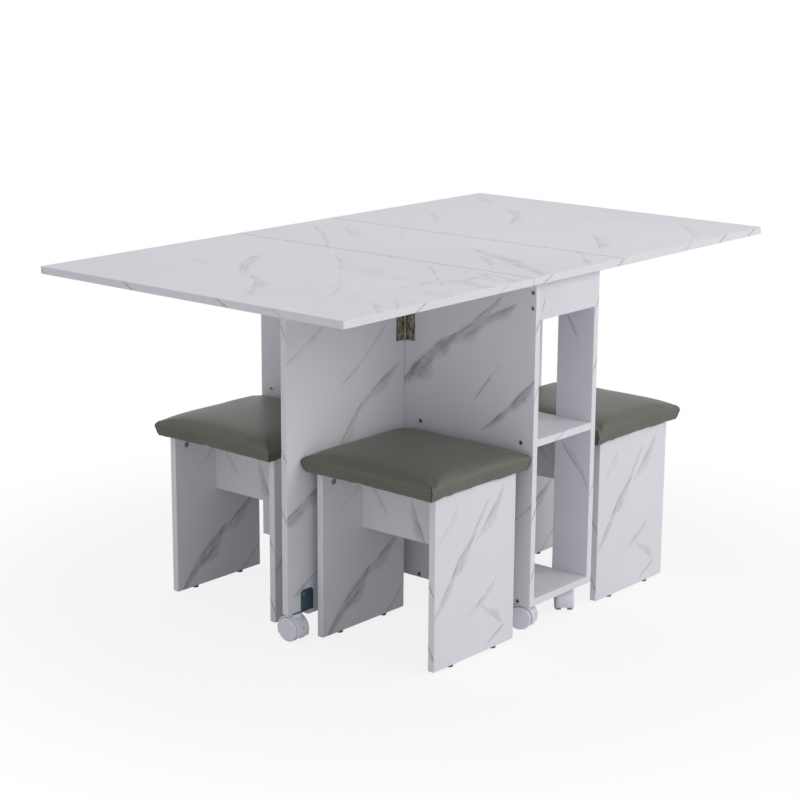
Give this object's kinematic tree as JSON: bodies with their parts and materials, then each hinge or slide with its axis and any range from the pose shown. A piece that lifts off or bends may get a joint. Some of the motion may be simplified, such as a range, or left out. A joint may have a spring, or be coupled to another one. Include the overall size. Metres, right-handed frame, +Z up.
{
  "type": "drop-leaf dining table with stools",
  "caption": "Drop-leaf dining table on casters with an open shelf cabinet, swinging gate legs and padded board-leg stools.",
  "frame": {"origin": "point on the floor under the centre of the table top", "axes": "+X along the raised top towards the open side of the cabinet, +Y across it, +Z up"},
  "size_m": [1.4, 0.8, 0.75],
  "materials": {
    "board": "satin marble-pattern laminate on particle board, white edge band",
    "plated_steel": "nickel plated, satin",
    "painted_bracket": "dark blue-grey paint",
    "caster_plastic": "white moulded plastic",
    "caster_wheel": "white plastic discs with grey treads",
    "leather": "grey-olive imitation leather, fine grain, satin",
    "plywood": "raw plywood",
    "fitting": "zinc cam locks and grey plastic glides"
  },
  "bodies": {
    "cabinet": {"top_center": "board", "side_panel": "board", "post_front": "board", "post_middle": "board", "post_back": "board", "shelf_middle": "board", "shelf_bottom": "board", "rail_front": "board", "rail_back": "board", "leaf_hinges_fixed": "plated_steel", "gate_hinges_fixed": "plated_steel", "caster_plates": "plated_steel"},
    "leaf_left": {"leaf_left": "board", "leaf_hinge_left": "plated_steel"},
    "leaf_right": {"leaf_right": "board", "leaf_hinge_right": "plated_steel"},
    "gate_left": {"gate_left": "board", "gate_hinge_left": "plated_steel", "gate_bracket_left": "painted_bracket"},
    "gate_right": {"gate_right": "board", "gate_hinge_right": "plated_steel", "gate_bracket_right": "painted_bracket"},
    "caster_front_left": {"caster_hood_front_left": "caster_plastic"},
    "wheels_front_left": {"caster_wheels_front_left": "caster_wheel"},
    "caster_front_right": {"caster_hood_front_right": "caster_plastic"},
    "wheels_front_right": {"caster_wheels_front_right": "caster_wheel"},
    "caster_back_left": {"caster_hood_back_left": "caster_plastic"},
    "wheels_back_left": {"caster_wheels_back_left": "caster_wheel"},
    "caster_back_right": {"caster_hood_back_right": "caster_plastic"},
    "wheels_back_right": {"caster_wheels_back_right": "caster_wheel"},
    "caster_gate_left": {"caster_hood_gate_left": "caster_plastic"},
    "wheels_gate_left": {"caster_wheels_gate_left": "caster_wheel"},
    "caster_gate_right": {"caster_hood_gate_right": "caster_plastic"},
    "wheels_gate_right": {"caster_wheels_gate_right": "caster_wheel"},
    "stool_front_left": {"stool_front_left_leg_front": "board", "stool_front_left_leg_back": "board", "stool_front_left_stretcher": "board", "stool_front_left_seat_board": "plywood", "stool_front_left_cushion": "leather", "stool_front_left_fittings": "fitting"},
    "stool_back_left": {"stool_back_left_leg_front": "board", "stool_back_left_leg_back": "board", "stool_back_left_stretcher": "board", "stool_back_left_seat_board": "plywood", "stool_back_left_cushion": "leather", "stool_back_left_fittings": "fitting"},
    "stool_front_right": {"stool_front_right_leg_front": "board", "stool_front_right_leg_back": "board", "stool_front_right_stretcher": "board", "stool_front_right_seat_board": "plywood", "stool_front_right_cushion": "leather", "stool_front_right_fittings": "fitting"},
    "stool_back_right": {"stool_back_right_leg_front": "board", "stool_back_right_leg_back": "board", "stool_back_right_stretcher": "board", "stool_back_right_seat_board": "plywood", "stool_back_right_cushion": "leather", "stool_back_right_fittings": "fitting"}
  },
  "joints": [
    {"name": "leaf_left_lift", "type": "hinge", "parent": "cabinet", "child": "leaf_left", "pos_m": [-0.1506, 0, 0.7317], "axis": [0, 1, 0], "range_deg": [0, 2.5]},
    {"name": "leaf_right_lift", "type": "hinge", "parent": "cabinet", "child": "leaf_right", "pos_m": [0.1506, 0, 0.7317], "axis": [0, -1, 0], "range_deg": [0, 2.5]},
    {"name": "gate_left_swing", "type": "hinge", "parent": "cabinet", "child": "gate_left", "pos_m": [-0.1108, -0.0433, 0.4], "axis": [0, 0, 1], "range_deg": [0, 90]},
    {"name": "gate_right_swing", "type": "hinge", "parent": "cabinet", "child": "gate_right", "pos_m": [0.1108, 0.0433, 0.4], "axis": [0, 0, 1], "range_deg": [0, 90]},
    {"name": "caster_front_left_swivel", "type": "hinge", "parent": "cabinet", "child": "caster_front_left", "pos_m": [-0.068, -0.337, 0.06], "axis": [0, 0, 1], "continuous": true},
    {"name": "wheels_front_left_roll", "type": "hinge", "parent": "caster_front_left", "child": "wheels_front_left", "pos_m": [-0.07074, -0.32948, 0.025], "axis": [0.9397, 0.342, 0], "continuous": true},
    {"name": "caster_front_right_swivel", "type": "hinge", "parent": "cabinet", "child": "caster_front_right", "pos_m": [0.068, -0.337, 0.06], "axis": [0, 0, 1], "continuous": true},
    {"name": "wheels_front_right_roll", "type": "hinge", "parent": "caster_front_right", "child": "wheels_front_right", "pos_m": [0.07413, -0.33186, 0.025], "axis": [0.6428, -0.766, 0], "continuous": true},
    {"name": "caster_back_left_swivel", "type": "hinge", "parent": "cabinet", "child": "caster_back_left", "pos_m": [-0.068, 0.337, 0.06], "axis": [0, 0, 1], "continuous": true},
    {"name": "wheels_back_left_roll", "type": "hinge", "parent": "caster_back_left", "child": "wheels_back_left", "pos_m": [-0.07552, 0.33426, 0.025], "axis": [-0.342, 0.9397, 0], "continuous": true},
    {"name": "caster_back_right_swivel", "type": "hinge", "parent": "cabinet", "child": "caster_back_right", "pos_m": [0.068, 0.337, 0.06], "axis": [0, 0, 1], "continuous": true},
    {"name": "wheels_back_right_roll", "type": "hinge", "parent": "caster_back_right", "child": "wheels_back_right", "pos_m": [0.07314, 0.33087, 0.025], "axis": [-0.766, -0.6428, 0], "continuous": true},
    {"name": "caster_gate_left_swivel", "type": "hinge", "parent": "gate_left", "child": "caster_gate_left", "pos_m": [-0.433, -0.0325, 0.06], "axis": [0, 0, 1], "continuous": true},
    {"name": "wheels_gate_left_roll", "type": "hinge", "parent": "caster_gate_left", "child": "wheels_gate_left", "pos_m": [-0.433, -0.0245, 0.025], "axis": [1, 0, 0], "continuous": true},
    {"name": "caster_gate_right_swivel", "type": "hinge", "parent": "gate_right", "child": "caster_gate_right", "pos_m": [0.433, 0.0325, 0.06], "axis": [0, 0, 1], "continuous": true},
    {"name": "wheels_gate_right_roll", "type": "hinge", "parent": "caster_gate_right", "child": "wheels_gate_right", "pos_m": [0.433, 0.0245, 0.025], "axis": [-1, 0, 0], "continuous": true},
    {"name": "stool_front_left_slide", "type": "slide", "parent": "cabinet", "child": "stool_front_left", "axis": [0, -1, 0], "range_m": [0, 0.55]},
    {"name": "stool_back_left_slide", "type": "slide", "parent": "cabinet", "child": "stool_back_left", "axis": [0, 1, 0], "range_m": [0, 0.55]},
    {"name": "stool_front_right_slide", "type": "slide", "parent": "cabinet", "child": "stool_front_right", "axis": [0, -1, 0], "range_m": [0, 0.55]},
    {"name": "stool_back_right_slide", "type": "slide", "parent": "cabinet", "child": "stool_back_right", "axis": [0, 1, 0], "range_m": [0, 0.55]}
  ],
  "couplings": [
    {"joint": "gate_left_swing", "follows": "stool_front_left_slide", "rad_per_m": 2.8559},
    {"joint": "gate_right_swing", "follows": "stool_back_right_slide", "rad_per_m": 2.8559}
  ]
}
